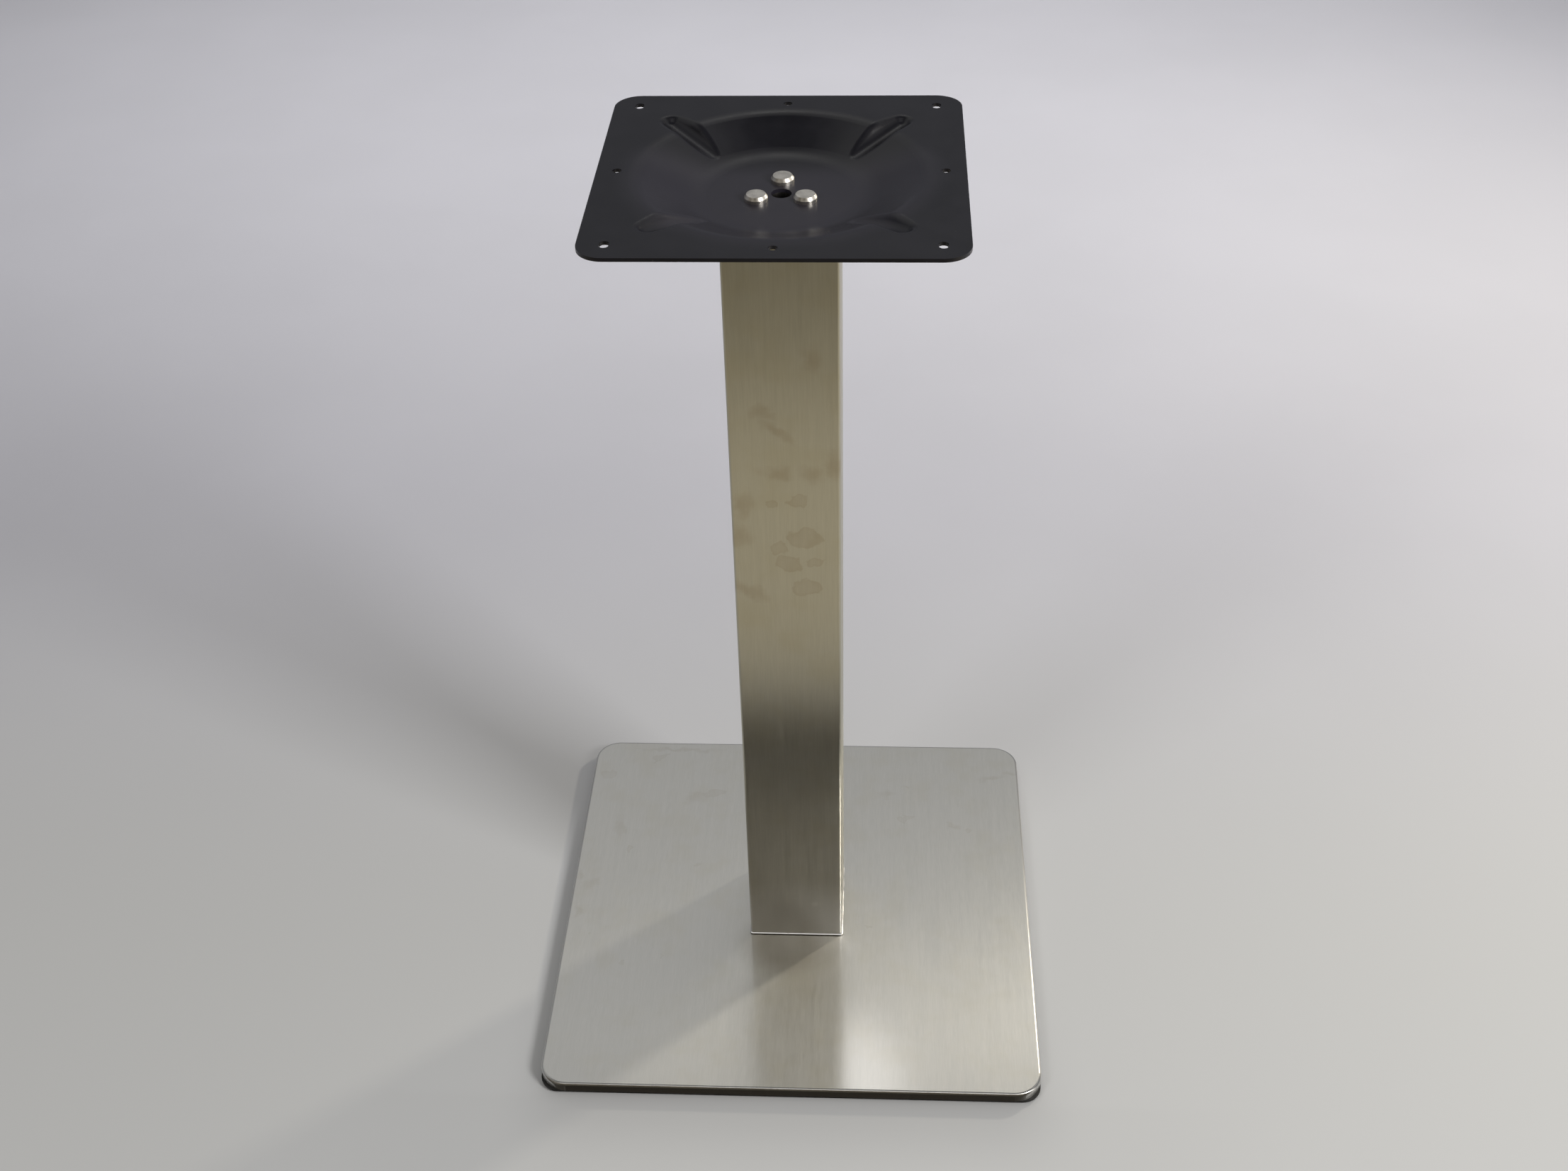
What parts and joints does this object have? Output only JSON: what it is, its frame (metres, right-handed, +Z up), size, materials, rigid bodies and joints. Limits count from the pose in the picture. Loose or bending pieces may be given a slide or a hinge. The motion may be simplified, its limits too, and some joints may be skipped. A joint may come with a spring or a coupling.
{
  "type": "bistro table base",
  "caption": "Bistro table base: square weighted foot with a thin steel cover, a square steel column and a pressed, dished top plate with screw holes for the table top.",
  "frame": {"origin": "on the floor, under the column's axis, at the underside of the levelling pads", "axes": "+Z up along the column, +X to the right, the front faces -Y, the pair of plate bolts is at the front and the single one at the back"},
  "size_m": [0.4, 0.4, 0.7],
  "materials": {
    "black_sheet": "semi-gloss black paint",
    "bright_bolt": "bright plated",
    "brushed_column": "brushed along the column",
    "brushed_cover": "brushed front to back",
    "black_iron": "black painted casting",
    "plain_steel": "plain mill surface",
    "zinc_screw": "zinc plated",
    "black_pad": "moulded, matte"
  },
  "bodies": {
    "base": {"ballast_plate": "black_iron", "base_cover": "brushed_cover", "column_foot_plate": "plain_steel", "column_tube": "brushed_column", "column_head_plate": "plain_steel", "top_plate": "black_sheet", "plate_bolt_back": "bright_bolt", "plate_bolt_left": "bright_bolt", "plate_bolt_right": "bright_bolt", "foot_screw_front_left": "zinc_screw", "foot_screw_front_right": "zinc_screw", "foot_screw_back_right": "zinc_screw", "foot_screw_back_left": "zinc_screw"},
    "foot_front_left": {"foot_stem_front_left": "zinc_screw", "foot_pad_front_left": "black_pad"},
    "foot_front_right": {"foot_stem_front_right": "zinc_screw", "foot_pad_front_right": "black_pad"},
    "foot_back_right": {"foot_stem_back_right": "zinc_screw", "foot_pad_back_right": "black_pad"},
    "foot_back_left": {"foot_stem_back_left": "zinc_screw", "foot_pad_back_left": "black_pad"}
  },
  "joints": [
    {"name": "level_front_left", "type": "slide", "parent": "base", "child": "foot_front_left", "axis": [0, 0, -1], "range_m": [0, 0.004]},
    {"name": "level_front_right", "type": "slide", "parent": "base", "child": "foot_front_right", "axis": [0, 0, -1], "range_m": [0, 0.004]},
    {"name": "level_back_right", "type": "slide", "parent": "base", "child": "foot_back_right", "axis": [0, 0, -1], "range_m": [0, 0.004]},
    {"name": "level_back_left", "type": "slide", "parent": "base", "child": "foot_back_left", "axis": [0, 0, -1], "range_m": [0, 0.004]}
  ]
}
